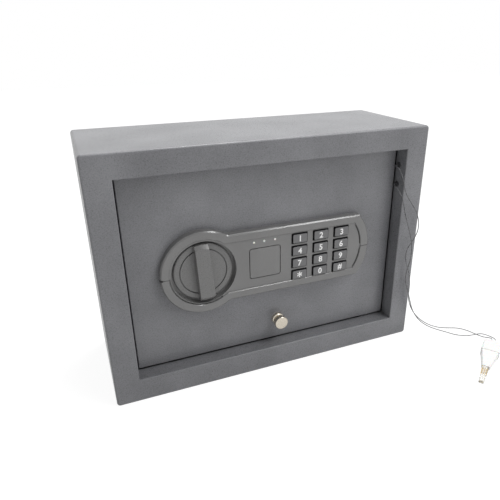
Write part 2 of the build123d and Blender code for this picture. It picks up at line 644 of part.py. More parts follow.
with BuildPart() as cam_pin:
    for back, radius, front in (
        (CAM_PIN_BACK, CAM_PIN_DIAMETER / 2, CAM_DEPTHS[1]),
        (CAM_DEPTHS[1], CAM_PIN_RIVET / 2, CAM_DEPTHS[0]),
    ):
        with BuildSketch(at_depth(back)):
            with Locations((PIN_X, PIN_Z)):
                Circle(radius)
        extrude(amount=back - front)
save(cam_pin.part, "cam_pin")

# Bolt carriage: a sheet with guide slots, the cam's slot and the arm that the solenoid blocks
CARRIAGE_BACK = BOLT_DEPTH + CARRIAGE_SHEET / 2
CARRIAGE_FRONT = BOLT_DEPTH - CARRIAGE_SHEET / 2
NOTCH_X = SOLENOID_X + BOLT_TRAVEL
with BuildPart() as bolt_carriage:
    with BuildSketch(at_depth(CARRIAGE_BACK)):
        with BuildLine():
            Polyline((BOLT_ROOT_X, ARM_BOTTOM), (ARM_RIGHT_X, ARM_BOTTOM), (ARM_RIGHT_X, ARM_TOP),
                     (CARRIAGE_RIGHT_X, ARM_TOP), (CARRIAGE_RIGHT_X, CARRIAGE_TOP), (BOLT_ROOT_X, CARRIAGE_TOP),
                     close=True)
        make_face()
        with Locations((NOTCH_X, ARM_TOP - NOTCH_DEPTH / 2)):
            Rectangle(PLUNGER_DIAMETER + 1, NOTCH_DEPTH, mode=Mode.SUBTRACT)
        with Locations(*[(STUD_X + BOLT_TRAVEL / 2, z) for z in STUD_HEIGHTS]):
            SlotCenterToCenter(BOLT_TRAVEL + 0.6, STUD_DIAMETER + 0.5, mode=Mode.SUBTRACT)
        with Locations((PIN_X, (PIN_Z + KNOB_Z + CAM_PIN_RADIUS) / 2)):
            SlotCenterToCenter(KNOB_Z + CAM_PIN_RADIUS - PIN_Z + 1, CAM_PIN_DIAMETER + 2 * CAM_PIN_PLAY,
                               rotation=90, mode=Mode.SUBTRACT)
    extrude(amount=CARRIAGE_SHEET)
    with BuildSketch(at_depth(BOLT_DEPTH + BOLT_DIAMETER / 2)):
        with Locations((BOLT_ROOT_X + CARRIAGE_SHEET / 2, (ARM_BOTTOM + CARRIAGE_TOP) / 2)):
            Rectangle(CARRIAGE_SHEET, CARRIAGE_TOP - ARM_BOTTOM)
    extrude(amount=BOLT_DIAMETER)
save(bolt_carriage.part, "bolt_carriage")

# Two round steel bolts on the carriage's left flange
for label, z in zip(("bolt_lower", "bolt_upper"), BOLT_HEIGHTS):
    with BuildPart() as bolt:
        with BuildSketch(Plane.YZ.offset(BOLT_TIP_X)):
            with Locations((FRONT + BOLT_DEPTH, z)):
                Circle(BOLT_DIAMETER / 2)
        extrude(amount=BOLT_ROOT_X - BOLT_TIP_X)
        chamfer(bolt.faces().sort_by(Axis.X)[0].edges(), 1)
    save(bolt.part, label)

# Studs welded to the door plate, each with a spacer in front of the carriage and a ring behind it
with BuildPart() as guide_studs:
    for front, back, radius in (
        (PLATE_BACK, CARRIAGE_BACK + 2.4, STUD_DIAMETER / 2),
        (PLATE_BACK, CARRIAGE_FRONT - 0.2, STUD_COLLAR_DIAMETER / 2),
        (CARRIAGE_BACK + 0.3, CARRIAGE_BACK + 1.4, STUD_COLLAR_DIAMETER / 2),
    ):
        with BuildSketch(at_depth(back)):
            with Locations(*[(STUD_X, z) for z in STUD_HEIGHTS]):
                Circle(radius)
        extrude(amount=back - front)
save(guide_studs.part, "guide_studs")

# Solenoid that blocks the carriage's arm: frame, coil, plunger with collar and lift pin, and spring
SOLENOID_PLACE = (SOLENOID_X, FRONT + SOLENOID_DEPTH)
SOLENOID_HEIGHT = SOLENOID_TOP - SOLENOID_BOTTOM
with BuildPart() as solenoid_frame:
    with BuildSketch(at_depth(SOLENOID_DEPTHS[1])):
        with Locations((SOLENOID_X, (SOLENOID_TOP + SOLENOID_BOTTOM) / 2)):
            Rectangle(SOLENOID_WIDTH, SOLENOID_HEIGHT)
            Rectangle(SOLENOID_WIDTH - 2 * SHEET, SOLENOID_HEIGHT - 2 * SHEET, mode=Mode.SUBTRACT)
    extrude(amount=SOLENOID_DEPTHS[1] - SOLENOID_DEPTHS[0])
    with BuildSketch(Plane.XY.offset(SOLENOID_BOTTOM)):
        with Locations(SOLENOID_PLACE):
            Circle(PLUNGER_DIAMETER / 2 + PLUNGER_CLEARANCE)
    extrude(amount=SOLENOID_HEIGHT, mode=Mode.SUBTRACT)
save(solenoid_frame.part, "solenoid_frame")

with BuildPart() as solenoid_coil:
    with BuildSketch(Plane.XY.offset(SOLENOID_BOTTOM + SHEET)):
        with Locations(SOLENOID_PLACE):
            Circle(COIL_DIAMETER / 2)
            Circle(PLUNGER_DIAMETER / 2 + PLUNGER_CLEARANCE, mode=Mode.SUBTRACT)
    extrude(amount=SOLENOID_HEIGHT - 2 * SHEET)
save(solenoid_coil.part, "solenoid_coil")

PLUNGER_BOTTOM = ARM_TOP + PLUNGER_GAP
COLLAR_Z = PLUNGER_BOTTOM + COLLAR_RISE
LIFT_PIN_BACK = LOCK_CAM_DEPTHS[1] + 0.3
with BuildPart() as solenoid_plunger:
    for bottom, top, radius in (
        (PLUNGER_BOTTOM, PLUNGER_TOP, PLUNGER_DIAMETER / 2),
        (COLLAR_Z, COLLAR_Z + COLLAR_THICKNESS, PLUNGER_DIAMETER / 2 + 1.6),
    ):
        with BuildSketch(Plane.XY.offset(bottom)):
            with Locations(SOLENOID_PLACE):
                Circle(radius)
        extrude(amount=top - bottom)
    with BuildSketch(at_depth(LIFT_PIN_BACK)):
        with Locations((SOLENOID_X, PLUNGER_BOTTOM + LIFT_PIN_RISE)):
            Circle(LIFT_PIN_DIAMETER / 2)
    extrude(amount=LIFT_PIN_BACK - SOLENOID_DEPTH)
save(solenoid_plunger.part, "solenoid_plunger")

SPRING_BOTTOM = COLLAR_Z + COLLAR_THICKNESS
SPRING_RISE = SOLENOID_BOTTOM - SPRING_BOTTOM - SPRING_WIRE
with BuildPart() as plunger_spring:
    with BuildLine() as spring_line:
        Helix(SPRING_RISE / SPRING_TURNS, SPRING_RISE, PLUNGER_DIAMETER / 2 + SPRING_WIRE,
              center=(*SOLENOID_PLACE, SPRING_BOTTOM + SPRING_WIRE / 2))
    with BuildSketch(Plane(spring_line.line @ 0, z_dir=spring_line.line % 0)):
        Circle(SPRING_WIRE / 2)
    sweep(is_frenet=True)
save(plunger_spring.part, "plunger_spring")

# Emergency lock behind the plug: housing on the door plate, turning core and its lifting cam
with BuildPart() as lock_housing:
    for back, radius in ((LOCK_BACK_DEPTH, LOCK_OUTSIDE / 2), (PLATE_BACK + LOCK_FLANGE[1], LOCK_FLANGE[0] / 2)):
        with BuildSketch(at_depth(back)):
            with Locations((LOCK_X, LOCK_Z)):
                Circle(radius)
                Circle(LOCK_BORE / 2, mode=Mode.SUBTRACT)
        extrude(amount=back - PLATE_BACK)
save(lock_housing.part, "lock_housing")

CORE_RADIUS = LOCK_BORE / 2 - PIN_CLEARANCE
CORE_BACK = LOCK_CAM_DEPTHS[1] + 1
with BuildPart() as lock_core:
    with BuildSketch(at_depth(CORE_BACK)):
        with Locations((LOCK_X, LOCK_Z)):
            Circle(CORE_RADIUS)
    extrude(amount=CORE_BACK - CORE_FRONT_DEPTH)
    with BuildSketch(at_depth(CORE_FRONT_DEPTH + KEY_SLOT[2])):
        with Locations((LOCK_X, LOCK_Z)):
            Circle(KEY_SLOT[0])
            Circle(KEY_SLOT[1], mode=Mode.SUBTRACT)
    extrude(amount=KEY_SLOT[2], mode=Mode.SUBTRACT)
save(lock_core.part, "lock_core")

with BuildPart() as lock_cam:
    with BuildSketch(at_depth(LOCK_CAM_DEPTHS[1])):
        with Locations((LOCK_X, LOCK_Z)):
            Circle(LOCK_CAM_HUB / 2)
        with Locations((LOCK_X + LOCK_CAM_REACH / 2, LOCK_Z)):
            SlotOverall(LOCK_CAM_REACH, LOCK_CAM_WIDTH)
        with Locations((LOCK_X, LOCK_Z)):
            Circle(CORE_RADIUS, mode=Mode.SUBTRACT)
    extrude(amount=LOCK_CAM_DEPTHS[1] - LOCK_CAM_DEPTHS[0])
save(lock_cam.part, "lock_cam")

# Silver plug that pulls out of the key lock: stem, base, narrow neck and domed head, turned in one piece.
# Its profile lies in a vertical plane through the lock's axis, with radius to the right and depth downwards.
STEM_RADIUS = PLUG_STEM_DIAMETER / 2
BASE_RADIUS = PLUG_BASE_DIAMETER / 2
NECK_RADIUS = PLUG_NECK_DIAMETER / 2
HEAD_RADIUS = PLUG_HEAD_DIAMETER / 2
BASE_FRONT = DOOR_FACE_DEPTH - PLUG_BASE_HEIGHT
DOME_RADIUS = ((HEAD_RADIUS - PLUG_EDGE) ** 2 + PLUG_DOME ** 2) / (2 * PLUG_DOME)
with BuildPart() as key_lock_plug:
    with BuildSketch(Plane((LOCK_X, FRONT, LOCK_Z), x_dir=(1, 0, 0), z_dir=(0, 0, 1))):
        with BuildLine():
            Polyline((0, PLUG_STEM_BACK), (STEM_RADIUS, PLUG_STEM_BACK), (STEM_RADIUS, DOOR_FACE_DEPTH),
                     (BASE_RADIUS, DOOR_FACE_DEPTH), (BASE_RADIUS, BASE_FRONT + PLUG_EDGE),
                     (BASE_RADIUS - PLUG_EDGE, BASE_FRONT), (NECK_RADIUS, BASE_FRONT),
                     (NECK_RADIUS, PLUG_HEAD_BACK), (HEAD_RADIUS - PLUG_EDGE, PLUG_HEAD_BACK),
                     (HEAD_RADIUS, PLUG_HEAD_BACK - PLUG_EDGE),
                     (HEAD_RADIUS, PLUG_FACE_DEPTH + PLUG_DOME + PLUG_EDGE))
            RadiusArc((HEAD_RADIUS, PLUG_FACE_DEPTH + PLUG_DOME + PLUG_EDGE),
                      (HEAD_RADIUS - PLUG_EDGE, PLUG_FACE_DEPTH + PLUG_DOME), PLUG_EDGE)
            RadiusArc((HEAD_RADIUS - PLUG_EDGE, PLUG_FACE_DEPTH + PLUG_DOME), (0, PLUG_FACE_DEPTH), DOME_RADIUS)
            Line((0, PLUG_FACE_DEPTH), (0, PLUG_STEM_BACK))
        make_face()
    revolve(axis=Axis((LOCK_X, FRONT, LOCK_Z), (0, 1, 0)))
save(key_lock_plug.part, "key_lock_plug")

# Electronics: the control board on the door plate and the reset button that shows through the cover
BOARD_MID = (sum(BOARD_X) / 2, sum(BOARD_Z) / 2)
with BuildPart() as control_board:
    with BuildSketch(at_depth(BOARD_DEPTHS[1])):
        with Locations(BOARD_MID):
            Rectangle(BOARD_X[1] - BOARD_X[0], BOARD_Z[1] - BOARD_Z[0])
    extrude(amount=BOARD_DEPTHS[1] - BOARD_DEPTHS[0])
    for x, z, wide, tall, thick in BOARD_PARTS:
        with BuildSketch(at_depth(BOARD_DEPTHS[1] + thick)):
            with Locations((x, z)):
                Rectangle(wide, tall)
        extrude(amount=thick)
    with BuildSketch(at_depth(BOARD_DEPTHS[0])):
        with Locations(BOARD_MID):
            with GridLocations(BOARD_X[1] - BOARD_X[0] - 2 * BOARD_FOOT[0],
                               BOARD_Z[1] - BOARD_Z[0] - 2 * BOARD_FOOT[0], 2, 2):
                Circle(BOARD_FOOT[1])
    extrude(amount=BOARD_DEPTHS[0] - PLATE_BACK)
save(control_board.part, "control_board")

with BuildPart() as reset_button:
    with BuildSketch(at_depth(RESET_DEPTHS[1])):
        with Locations((RESET_X, RESET_Z)):
            Circle(RESET_DIAMETER / 2)
    extrude(amount=RESET_DEPTHS[1] - RESET_DEPTHS[0])
    fillet(reset_button.faces().sort_by(Axis.Y)[-1].edges(), 0.6)
save(reset_button.part, "reset_button")

# Battery box for four cells side by side, the cells, their contacts and the lift-off lid
CELL_DEPTH = PLATE_BACK + BATTERY_WALL + BATTERY_DIAMETER / 2 + 0.1
CELL_LEFT = BATTERY_MID[0] - BATTERY_LENGTH / 2
CELL_RIGHT = CELL_LEFT + BATTERY_LENGTH
CELL_PLACES = [(FRONT + CELL_DEPTH, BATTERY_MID[1] + BATTERY_PITCH * (cell - (BATTERY_COUNT - 1) / 2))
               for cell in range(BATTERY_COUNT)]
with BuildPart() as battery_box:
    with BuildSketch(at_depth(DOOR_BACK_DEPTH)):
        with Locations(BATTERY_MID):
            RectangleRounded(*BATTERY_BOX_SIZE, BATTERY_BOX_CORNER)
    extrude(amount=DOOR_BACK_DEPTH - PLATE_BACK)
    with BuildSketch(at_depth(DOOR_BACK_DEPTH)):
        with Locations(BATTERY_MID):
            RectangleRounded(*[side - 2 * BATTERY_WALL for side in BATTERY_BOX_SIZE],
                             BATTERY_BOX_CORNER - BATTERY_WALL)
    extrude(amount=DOOR_BACK_DEPTH - PLATE_BACK - BATTERY_WALL, mode=Mode.SUBTRACT)
save(battery_box.part, "battery_box")

with BuildPart() as batteries:
    for radius, length in ((BATTERY_DIAMETER / 2, BATTERY_LENGTH - BATTERY_NUB[1]),
                           (BATTERY_NUB[0] / 2, BATTERY_LENGTH)):
        with BuildSketch(Plane.YZ.offset(CELL_LEFT)):
            with Locations(*CELL_PLACES):
                Circle(radius)
        extrude(amount=length)
save(batteries.part, "batteries")

with BuildPart() as battery_contacts:
    for start, end_x in ((BATTERY_BOX_X[0] + BATTERY_WALL, CELL_LEFT), (CELL_RIGHT, BATTERY_BOX_X[1] - BATTERY_WALL)):
        with BuildSketch(Plane.YZ.offset(start)):
            with Locations(*CELL_PLACES):
                Circle(CONTACT_DIAMETER / 2)
        extrude(amount=end_x - start)
save(battery_contacts.part, "battery_contacts")

with BuildPart() as battery_cover:
    with BuildSketch(at_depth(COVER_BACK + LID_PROUD)):
        with Locations(BATTERY_MID):
            RectangleRounded(*[side - 2 * LID_GAP for side in BATTERY_BOX_SIZE], BATTERY_BOX_CORNER - LID_GAP)
    extrude(amount=COVER_BACK + LID_PROUD - DOOR_BACK_DEPTH - 0.1)
    with BuildSketch(at_depth(COVER_BACK + LID_PROUD)):
        with Locations(BATTERY_MID):
            with GridLocations(0, LID_RIBS[2], 1, LID_RIBS[3]):
                Rectangle(LID_RIBS[0], LID_RIBS[1])
    extrude(amount=LID_PROUD - 0.2, mode=Mode.SUBTRACT)
save(battery_cover.part, "battery_cover")

# White connector that lies on the floor: rear collar, rounded block, tapering snout and a clear tip
CONNECTOR_PLACE = Plane((CONNECTOR_REAR[0], FRONT + CONNECTOR_REAR[1], CONNECTOR_LIFT),
                        x_dir=(-sin(radians(CONNECTOR_HEADING)), cos(radians(CONNECTOR_HEADING)), 0),
                        z_dir=(cos(radians(CONNECTOR_HEADING)), sin(radians(CONNECTOR_HEADING)), 0))
SNOUT_END = CONNECTOR_BLOCK[0] + CONNECTOR_SNOUT_LENGTH
TIP_DROP = CONNECTOR_LIFT - CONNECTOR_TIP[2] / 2
with BuildPart() as lead_connector:
    with BuildSketch(CONNECTOR_PLACE):
        RectangleRounded(CONNECTOR_BLOCK[1], CONNECTOR_BLOCK[2], 1.6)
    extrude(amount=CONNECTOR_BLOCK[0])
    with BuildSketch(CONNECTOR_PLACE):
        Circle(CONNECTOR_COLLAR[1] / 2)
    extrude(amount=-CONNECTOR_COLLAR[0])
    with BuildSketch(CONNECTOR_PLACE.offset(CONNECTOR_BLOCK[0])):
        RectangleRounded(CONNECTOR_BLOCK[1] - 1, CONNECTOR_BLOCK[2] - 0.8, 1.5)
    with BuildSketch(CONNECTOR_PLACE.offset(SNOUT_END)):
        with Locations((0, -TIP_DROP)):
            RectangleRounded(CONNECTOR_TIP[1] + 1, CONNECTOR_TIP[2], 1.5)
    loft()
save(lead_connector.part, "lead_connector")

with BuildPart() as connector_tip:
    with BuildSketch(CONNECTOR_PLACE.offset(SNOUT_END)):
        with Locations((0, -TIP_DROP)):
            RectangleRounded(CONNECTOR_TIP[1], CONNECTOR_TIP[2] - 0.4, 1.4)
    with BuildSketch(CONNECTOR_PLACE.offset(SNOUT_END + CONNECTOR_TIP[0])):
        with Locations((0, -TIP_DROP - 0.4)):
            RectangleRounded(CONNECTOR_TIP[1] - 2, CONNECTOR_TIP[2] - 1.6, 1)
    loft()
save(connector_tip.part, "connector_tip")


def lead_path(points):
    """Straight runs joined by arcs, each as large as its two runs allow. Returns the path and its radii."""
    corners = [Vector(*point) for point in points]
    radii = []
    for before, corner, after in zip(corners, corners[1:], corners[2:]):
        half_turn = radians((corner - before).get_angle(after - corner)) / 2
        shorter = min((corner - before).length, (after - corner).length)
        radii.append(0.45 * shorter / tan(half_turn))
    with BuildLine() as path:
        FilletPolyline(*corners, radius=radii)
    return path.wires()[0], radii


# Two thin leads: out of the return, down in front of the flange, and along the floor to the connector
LEAD_A = [
    (127.8, -43.95, 182.4), (124.2, -43.95, 182.4), (121.9, -46.2, 183.2), (121.6, -50.6, 183.2),
    (122.8, -55.6, 179.4), (124.2, -58.8, 171.6), (128.4, -58.8, 158.6), (137.6, -58.8, 147.0),
    (145.6, -58.8, 135.4), (148.8, -58.9, 121.6), (144.2, -59.0, 110.6), (136.8, -59.4, 102.2),
    (134.8, -60.6, 92.4), (138.6, -61.4, 81.6), (143.2, -60.4, 71.4), (145.8, -59.2, 58.6),
    (145.4, -59.2, 45.6), (150.8, -59.6, 31.0), (160.8, -60.2, 18.0), (173.8, -61.2, 7.6), (186.6, -63.2, 1.4),
    (196.4, -67.6, 0.75), (206.4, -71.8, 0.8), (213.0, -79.2, 0.75), (216.6, -90.0, 0.75), (219.8, -97.6, 0.9),
    (223.2, -103.2, 2.6), (220.21, -107.93, 4.5), (216.19, -110.9, 4.5),
]
LEAD_B = [
    (127.8, -43.95, 164.4), (124.2, -43.95, 164.4), (121.9, -46.2, 165.0), (121.8, -50.8, 164.8),
    (122.8, -56.0, 161.0), (125.6, -59.2, 153.6), (129.0, -59.4, 141.2), (133.6, -60.8, 127.0),
    (138.6, -62.0, 112.6), (141.6, -61.2, 98.6), (142.2, -59.4, 86.6), (139.8, -58.8, 76.6),
    (139.6, -58.8, 66.0), (143.0, -60.2, 55.4), (146.0, -61.4, 44.4), (150.4, -62.0, 31.0),
    (159.2, -62.6, 17.8), (171.6, -63.6, 7.2), (183.6, -66.6, 1.4), (190.2, -73.6, 0.75), (195.8, -82.2, 0.75),
    (204.2, -88.6, 1.2), (211.6, -91.2, 2.3), (219.6, -91.9, 2.3), (224.8, -95.2, 1.4), (227.0, -101.0, 1.4),
    (225.5, -107.2, 2.8), (221.87, -110.18, 4.5), (217.85, -113.15, 4.5),
]
for label, points in (("lead_strand_a", LEAD_A), ("lead_strand_b", LEAD_B)):
    line, radii = lead_path(points)
    with BuildPart() as strand:
        with BuildSketch(Plane(line @ 0, z_dir=line % 0)):
            Circle(LEAD_DIAMETER / 2)
        sweep(path=line)
    save(strand.part, label)
    section = pi * LEAD_DIAMETER ** 2 / 4
    print(label, "length", round(line.length, 1), "least radii", [round(radius, 1) for radius in sorted(radii)[:5]],
          "volume over section times length", round(strand.part.volume / (section * line.length), 4))
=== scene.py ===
from math import cos, pi, radians, sin

import bmesh
import bpy
from mathutils import Matrix, Vector


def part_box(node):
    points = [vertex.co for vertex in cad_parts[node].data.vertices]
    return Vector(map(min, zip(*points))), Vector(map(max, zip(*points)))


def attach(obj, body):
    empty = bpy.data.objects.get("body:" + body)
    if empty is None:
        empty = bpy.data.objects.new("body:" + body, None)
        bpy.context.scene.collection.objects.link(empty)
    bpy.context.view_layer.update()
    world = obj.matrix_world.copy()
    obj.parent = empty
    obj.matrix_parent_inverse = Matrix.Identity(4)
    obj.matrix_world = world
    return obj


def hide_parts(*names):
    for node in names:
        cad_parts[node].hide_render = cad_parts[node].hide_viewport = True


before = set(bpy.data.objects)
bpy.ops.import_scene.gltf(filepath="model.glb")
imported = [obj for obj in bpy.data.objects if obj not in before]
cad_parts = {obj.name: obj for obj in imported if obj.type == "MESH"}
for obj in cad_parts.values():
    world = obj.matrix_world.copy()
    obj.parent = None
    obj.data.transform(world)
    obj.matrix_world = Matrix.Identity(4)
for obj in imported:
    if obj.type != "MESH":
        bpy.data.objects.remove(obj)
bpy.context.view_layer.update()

# Camera: close to the safe, in front of its left half and a little above its top.
# The place, aim and lens come from matching the box's edges to the photograph.
EYE = Vector((-0.15495, -0.41212, 0.29335))
SIGHT_LINE = Vector((0.3506, 0.8450, -0.4039)).normalized()
EYE_RIGHT = Vector((0.9228, -0.3854, -0.0054)).normalized()
LENS = 35.13
SENSOR = 36.0
LENS_SHIFT = (-0.0397, 0.0024)
NEAREST_SEEN = 0.01
camera = bpy.data.objects.new("camera", bpy.data.cameras.new("camera"))
bpy.context.scene.collection.objects.link(camera)
bpy.context.scene.camera = camera
camera.data.lens = LENS
camera.data.sensor_width = SENSOR
camera.data.shift_x, camera.data.shift_y = LENS_SHIFT
camera.data.clip_start = NEAREST_SEEN
eye_up = EYE_RIGHT.cross(SIGHT_LINE)
turned = Matrix((EYE_RIGHT, eye_up, -SIGHT_LINE)).transposed()
camera.matrix_world = Matrix.Translation(EYE) @ turned.to_4x4()

# Steel box: one folded sheet for top, sides, bottom and front flange, with the back welded in.
# It is powder coated in charcoal with a fine speckle, and the coat is a little cloudy. The hinge's
# brackets are welded inside and have the same coat.


def plain_finish(name, colour, roughness, metallic=0.0):
    """A new material with its colour, roughness and metal set on the shader. Returns both."""
    material = bpy.data.materials.new(name)
    material.use_nodes = True
    shader = material.node_tree.nodes["Principled BSDF"]
    shader.inputs["Base Color"].default_value = (*colour, 1.0)
    shader.inputs["Roughness"].default_value = roughness
    shader.inputs["Metallic"].default_value = metallic
    return material, shader


def on_piece(material):
    """The piece's own coordinates, in metres. Returns their socket."""
    return material.node_tree.nodes.new("ShaderNodeTexCoord").outputs["Object"]


def noise(material, per_metre, detail=2.0, stretch=(1.0, 1.0, 1.0), roughness=0.5):
    """Noise on the piece's own coordinates, in grains per metre. Returns its value socket."""
    tree = material.node_tree
    mapping = tree.nodes.new("ShaderNodeMapping")
    mapping.inputs["Scale"].default_value = stretch
    texture = tree.nodes.new("ShaderNodeTexNoise")
    texture.inputs["Scale"].default_value = per_metre
    texture.inputs["Detail"].default_value = detail
    texture.inputs["Roughness"].default_value = roughness
    tree.links.new(on_piece(material), mapping.inputs["Vector"])
    tree.links.new(mapping.outputs["Vector"], texture.inputs["Vector"])
    return texture.outputs["Fac"]


def between(material, value, low_at, high_at, low=0.0, high=1.0):
    """Maps a value from the range low_at..high_at to low..high, held at the ends."""
    ranger = material.node_tree.nodes.new("ShaderNodeMapRange")
    ranger.inputs["From Min"].default_value = low_at
    ranger.inputs["From Max"].default_value = high_at
    ranger.inputs["To Min"].default_value = low
    ranger.inputs["To Max"].default_value = high
    material.node_tree.links.new(value, ranger.inputs["Value"])
    return ranger.outputs["Result"]


def two_tone(material, shader, value, first, second):
    """Colours the material from first to second as value goes from 0 to 1."""
    tree = material.node_tree
    mix = tree.nodes.new("ShaderNodeMix")
    mix.data_type = "RGBA"
    mix.inputs["A"].default_value = (*first, 1.0)
    mix.inputs["B"].default_value = (*second, 1.0)
    tree.links.new(value, mix.inputs["Factor"])
    tree.links.new(mix.outputs["Result"], shader.inputs["Base Color"])


def grained(material, shader, grain, dark, light, low_at=0.3, high_at=0.7):
    """Colours the material from dark to light across the middle of a grain's values."""
    two_tone(material, shader, between(material, grain, low_at, high_at), dark, light)


def blended(material, first, second, second_share):
    """Mixes two values. Returns the mixed one's socket."""
    tree = material.node_tree
    blend = tree.nodes.new("ShaderNodeMix")
    blend.inputs["Factor"].default_value = second_share
    tree.links.new(first, blend.inputs["A"])
    tree.links.new(second, blend.inputs["B"])
    return blend.outputs["Result"]


def uneven_gloss(material, shader, value, low, high):
    """Roughness from low to high as value crosses its middle."""
    rough = between(material, value, 0.35, 0.65, low, high)
    material.node_tree.links.new(rough, shader.inputs["Roughness"])


def relief(material, shader, value, height, strength=1.0):
    """Raises the surface by height metres where value is 1."""
    tree = material.node_tree
    bump = tree.nodes.new("ShaderNodeBump")
    bump.inputs["Strength"].default_value = strength
    bump.inputs["Distance"].default_value = height
    tree.links.new(value, bump.inputs["Height"])
    tree.links.new(bump.outputs["Normal"], shader.inputs["Normal"])


def finish_nodes(material, *names):
    """Gives CAD nodes a material."""
    for name in names:
        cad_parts[name].data.materials.clear()
        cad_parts[name].data.materials.append(material)


CLOUD_SHARE = 0.35
powder_coat, shader = plain_finish("powder_coat", (0.19, 0.19, 0.20), roughness=0.36)
speckle = noise(powder_coat, per_metre=1100, detail=3.0, roughness=0.65)
cloud = noise(powder_coat, per_metre=22, detail=3.0)
coat_tone = blended(powder_coat, between(powder_coat, speckle, 0.25, 0.75),
                    between(powder_coat, cloud, 0.3, 0.7), CLOUD_SHARE)
two_tone(powder_coat, shader, coat_tone, (0.110, 0.111, 0.119), (0.268, 0.270, 0.284))
uneven_gloss(powder_coat, shader, speckle, low=0.26, high=0.4)
relief(powder_coat, shader, speckle, height=0.00010, strength=0.55)
finish_nodes(powder_coat, "body_shell", "back_panel", "hinge_bracket_upper", "hinge_bracket_lower")

# Felt mat on the inside floor: pressed fibre sheet, cut to the floor with a hole round each
# anchor hole. It lies flat and is a little wavy, as a loose mat is.
MAT_THICKNESS = 0.0016
MAT_CELLS = (98, 30)
WAVE_HEIGHT = 0.00018
WAVES_ALONG = 41
WAVES_ACROSS = 63
ANCHOR_HOLE_RADIUS = 0.009
ANCHOR_SPACING = 0.150
ANCHOR_Y = 0.01525
RIM_REACH = 1.5 * ANCHOR_HOLE_RADIUS


def new_piece(name, mesh_maker, material, body):
    """Makes a mesh object from a bmesh, gives it its finish, and lets it ride on a body."""
    mesh = bpy.data.meshes.new(name)
    mesh_maker.to_mesh(mesh)
    mesh_maker.free()
    mesh.materials.append(material)
    piece = bpy.data.objects.new(name, mesh)
    bpy.context.scene.collection.objects.link(piece)
    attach(piece, body)
    return piece


felt, shader = plain_finish("felt", (0.045, 0.045, 0.05), roughness=0.95)
fibre = noise(felt, per_metre=1400, detail=4.0, roughness=0.7)
grained(felt, shader, fibre, (0.028, 0.028, 0.031), (0.085, 0.085, 0.09))
relief(felt, shader, fibre, height=0.0004, strength=0.6)
shader.inputs["Sheen Weight"].default_value = 0.4
low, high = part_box("floor_mat")
mat = bmesh.new()
bmesh.ops.create_grid(mat, x_segments=MAT_CELLS[0], y_segments=MAT_CELLS[1], size=0.5)
bmesh.ops.scale(mat, vec=(high.x - low.x, high.y - low.y, 1), verts=mat.verts)
bmesh.ops.translate(mat, vec=((low.x + high.x) / 2, (low.y + high.y) / 2, low.z), verts=mat.verts)
anchors = [Vector((side * ANCHOR_SPACING / 2, ANCHOR_Y, low.z)) for side in (-1, 1)]
holes = [face for face in mat.faces
         if min((face.calc_center_median() - anchor).length for anchor in anchors)
         < ANCHOR_HOLE_RADIUS]
bmesh.ops.delete(mat, geom=holes, context="FACES")
for vert in mat.verts:
    anchor = min(anchors, key=lambda place: (vert.co - place).length)
    if vert.is_boundary and (vert.co - anchor).length < RIM_REACH:
        vert.co = anchor + (vert.co - anchor).normalized() * ANCHOR_HOLE_RADIUS
for vert in mat.verts:
    vert.co.z += WAVE_HEIGHT * (1 + sin(WAVES_ALONG * vert.co.x) * cos(WAVES_ACROSS * vert.co.y))
felt_mat = new_piece("felt_mat", mat, felt, "box")
thickness = felt_mat.modifiers.new("thickness", "SOLIDIFY")
thickness.thickness = MAT_THICKNESS
thickness.offset = 1.0
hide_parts("floor_mat")

# Door: a folded steel pan in the same coat as the box, and a flat sheet cover screwed over its
# inside. The screws, the cover's posts and the hinge's pins are zinc plated.
finish_nodes(powder_coat, "door_skin", "door_inner_cover")
zinc, shader = plain_finish("zinc", (0.55, 0.55, 0.54), roughness=0.34, metallic=1.0)
flake = noise(zinc, per_metre=420, detail=3.0)
grained(zinc, shader, flake, (0.46, 0.46, 0.46), (0.64, 0.64, 0.62))
uneven_gloss(zinc, shader, flake, low=0.26, high=0.44)
relief(zinc, shader, noise(zinc, per_metre=1800), height=0.00003, strength=0.3)
finish_nodes(zinc, "cover_posts", "cover_screws", "panel_screws", "hinge_pin_upper",
             "hinge_pin_lower")

# Brass pieces: the hinge's bushes in the door's flanges, and the emergency lock's core.
# They are turned from bar and left plain.
brass, shader = plain_finish("brass", (0.72, 0.52, 0.22), roughness=0.3, metallic=1.0)
turning = noise(brass, per_metre=1500, stretch=(1, 0.2, 1))
grained(brass, shader, turning, (0.62, 0.43, 0.17), (0.80, 0.60, 0.28))
uneven_gloss(brass, shader, turning, low=0.22, high=0.42)
finish_nodes(brass, "hinge_bush_upper", "hinge_bush_lower", "lock_core")

# Rubber pieces: the leads' two grommets in the right return, and the membrane under the keys.
# Both are moulded in matt black.
black_rubber, shader = plain_finish("black_rubber", (0.03, 0.03, 0.032), roughness=0.75)
bloom = noise(black_rubber, per_metre=600, detail=3.0)
grained(black_rubber, shader, bloom, (0.022, 0.022, 0.024), (0.045, 0.045, 0.048))
relief(black_rubber, shader, bloom, height=0.00006, strength=0.4)
finish_nodes(black_rubber, "lead_grommets", "keypad_membrane")

# Lock panel: charcoal plastic with a fine satin grain, moulded as an inner field and a border
# in two halves. A blank square insert sits in the field.
DRIFT_SHARE = 0.5
panel_plastic, shader = plain_finish("panel_plastic", (0.19, 0.189, 0.188), roughness=0.2)
satin = noise(panel_plastic, per_metre=2200, detail=2.0)
drift = noise(panel_plastic, per_metre=30, detail=2.0)
panel_tone = blended(panel_plastic, between(panel_plastic, satin, 0.3, 0.7),
                     between(panel_plastic, drift, 0.3, 0.7), DRIFT_SHARE)
two_tone(panel_plastic, shader, panel_tone, (0.168, 0.167, 0.166), (0.213, 0.212, 0.21))
uneven_gloss(panel_plastic, shader, satin, low=0.16, high=0.25)
relief(panel_plastic, shader, satin, height=0.00003, strength=0.35)
finish_nodes(panel_plastic, "panel_upper_trim", "panel_lower_trim", "panel_base", "centre_insert")

